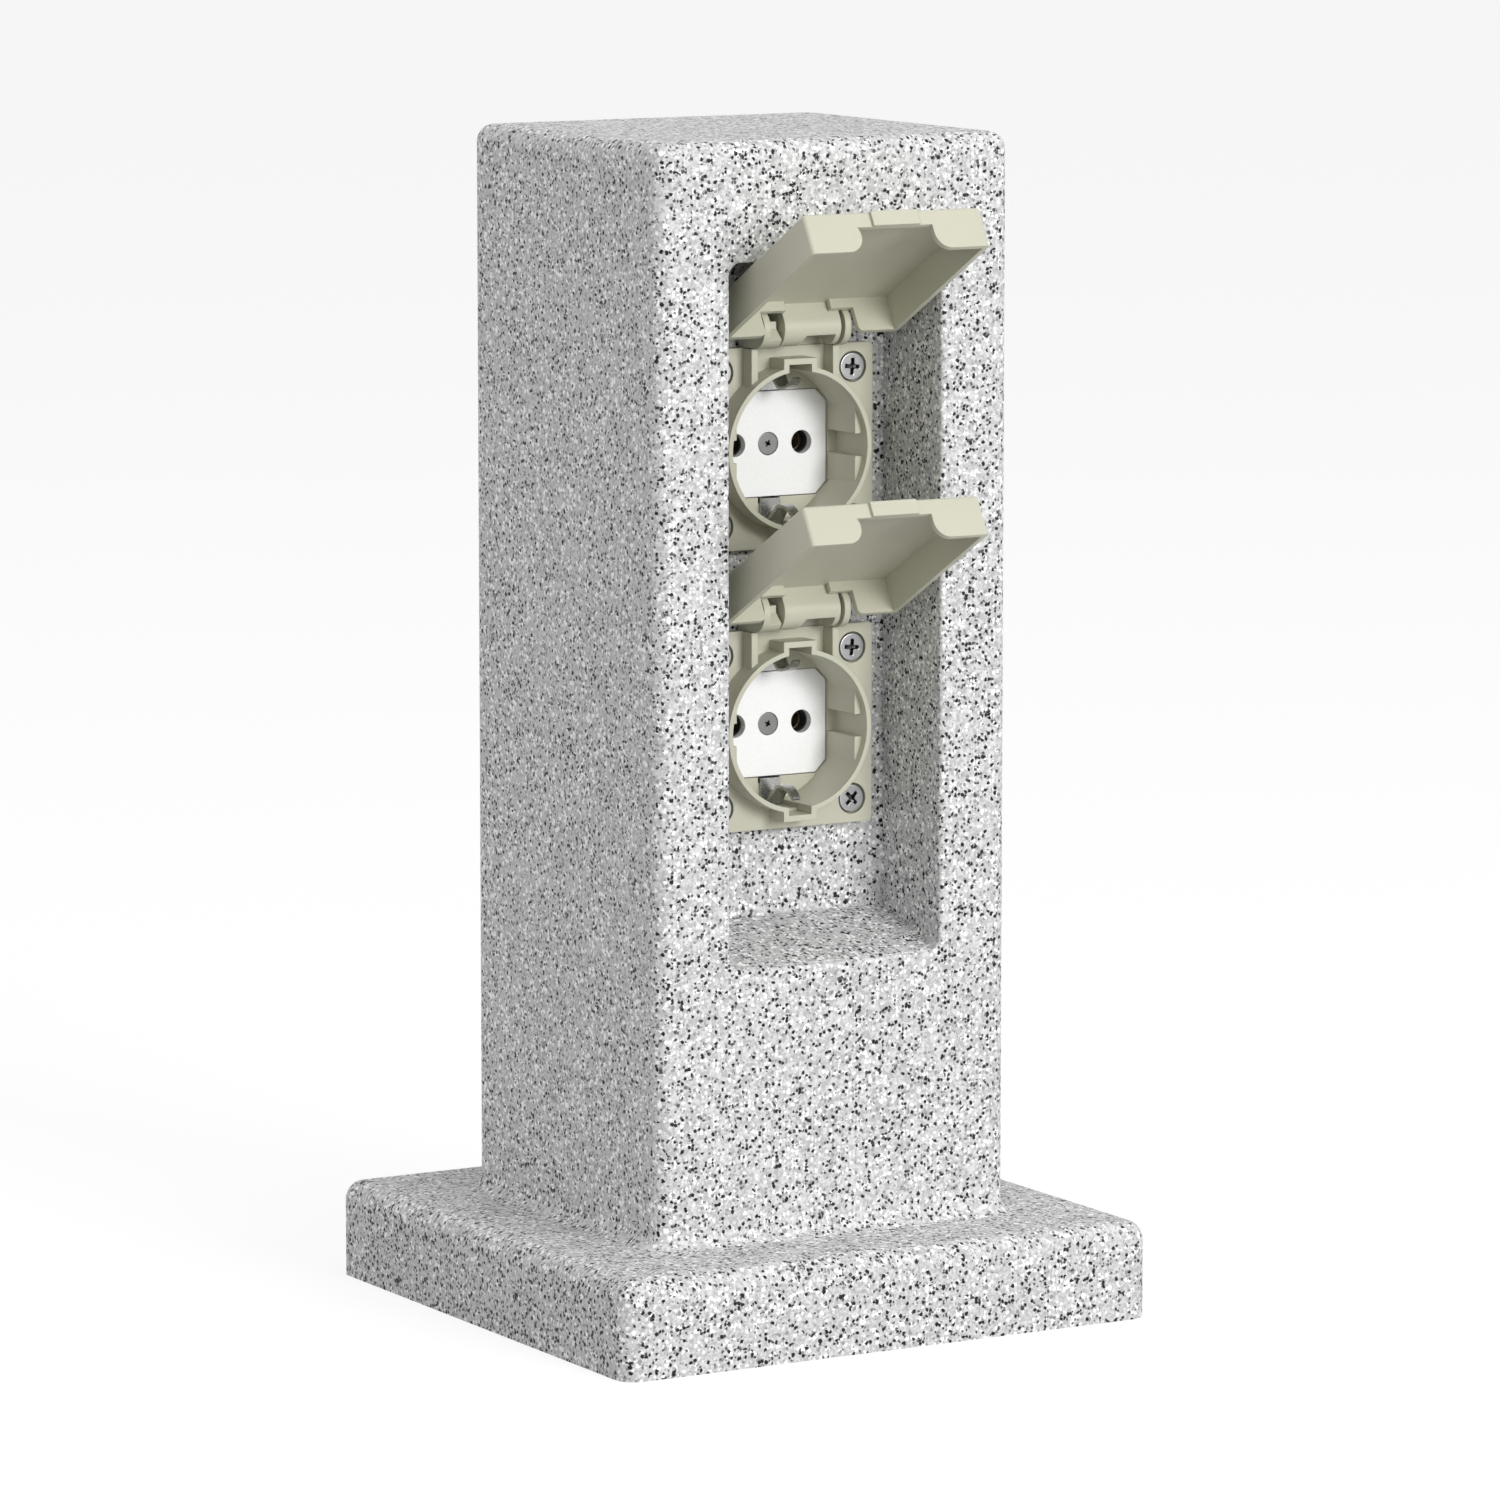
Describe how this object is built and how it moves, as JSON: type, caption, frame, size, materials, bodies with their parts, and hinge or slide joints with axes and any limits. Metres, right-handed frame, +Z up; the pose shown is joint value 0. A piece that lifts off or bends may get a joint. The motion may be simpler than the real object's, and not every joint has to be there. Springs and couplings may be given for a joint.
{
  "type": "garden socket post",
  "caption": "Stone-look square post on a wide square base, with a tall front niche that holds round-recess panel sockets under hinged lids, shown open.",
  "frame": {"origin": "on the ground, in the middle of the base's underside", "axes": "+X to the right along the front, +Y to the back (the niche opens towards -Y), +Z up"},
  "size_m": [0.15, 0.1531, 0.295],
  "materials": {
    "granite_look": "matte, grey granite speckle",
    "pebble_grey": "fine matte",
    "white_insert": "glossy",
    "dark_plastic": "matte",
    "carrier_plastic": "matte",
    "ivory_plastic": "matte",
    "black_rubber": "matte",
    "zinc_steel": "satin, zinc plated",
    "brass": "plain",
    "brown_sheath": "satin",
    "blue_sheath": "satin",
    "green_yellow_sheath": "satin"
  },
  "bodies": {
    "post": {"column_shell": "granite_look", "base_cover": "dark_plastic", "base_cover_screws": "zinc_steel", "gland_body": "dark_plastic", "gland_locknut": "dark_plastic", "gland_seal": "black_rubber", "gland_cap": "dark_plastic", "terminal_strip": "ivory_plastic", "strip_sleeves": "brass", "strip_clamp_screws": "zinc_steel", "strip_fixing_screws": "zinc_steel", "live_wires": "brown_sheath", "neutral_wires": "blue_sheath", "earth_wires": "green_yellow_sheath", "lower_socket_body": "pebble_grey", "lower_flange_gasket": "black_rubber", "lower_flange_screws": "zinc_steel", "lower_hinge_pin": "zinc_steel", "lower_lid_spring": "zinc_steel", "lower_insert": "white_insert", "lower_insert_screw": "zinc_steel", "lower_earth_clip": "zinc_steel", "lower_contact_carrier": "carrier_plastic", "lower_live_contact": "brass", "lower_neutral_contact": "brass", "lower_terminal_screws": "zinc_steel", "upper_socket_body": "pebble_grey", "upper_flange_gasket": "black_rubber", "upper_flange_screws": "zinc_steel", "upper_hinge_pin": "zinc_steel", "upper_lid_spring": "zinc_steel", "upper_insert": "white_insert", "upper_insert_screw": "zinc_steel", "upper_earth_clip": "zinc_steel", "upper_contact_carrier": "carrier_plastic", "upper_live_contact": "brass", "upper_neutral_contact": "brass", "upper_terminal_screws": "zinc_steel"},
    "lower_lid": {"lower_lid": "pebble_grey"},
    "upper_lid": {"upper_lid": "pebble_grey"}
  },
  "joints": [
    {"name": "lower_lid_hinge", "type": "hinge", "parent": "post", "child": "lower_lid", "pos_m": [0, -0.0283, 0.1775], "axis": [1, 0, 0], "range_deg": [0, 119]},
    {"name": "upper_lid_hinge", "type": "hinge", "parent": "post", "child": "upper_lid", "pos_m": [0, -0.0283, 0.2475], "axis": [1, 0, 0], "range_deg": [0, 119]}
  ]
}
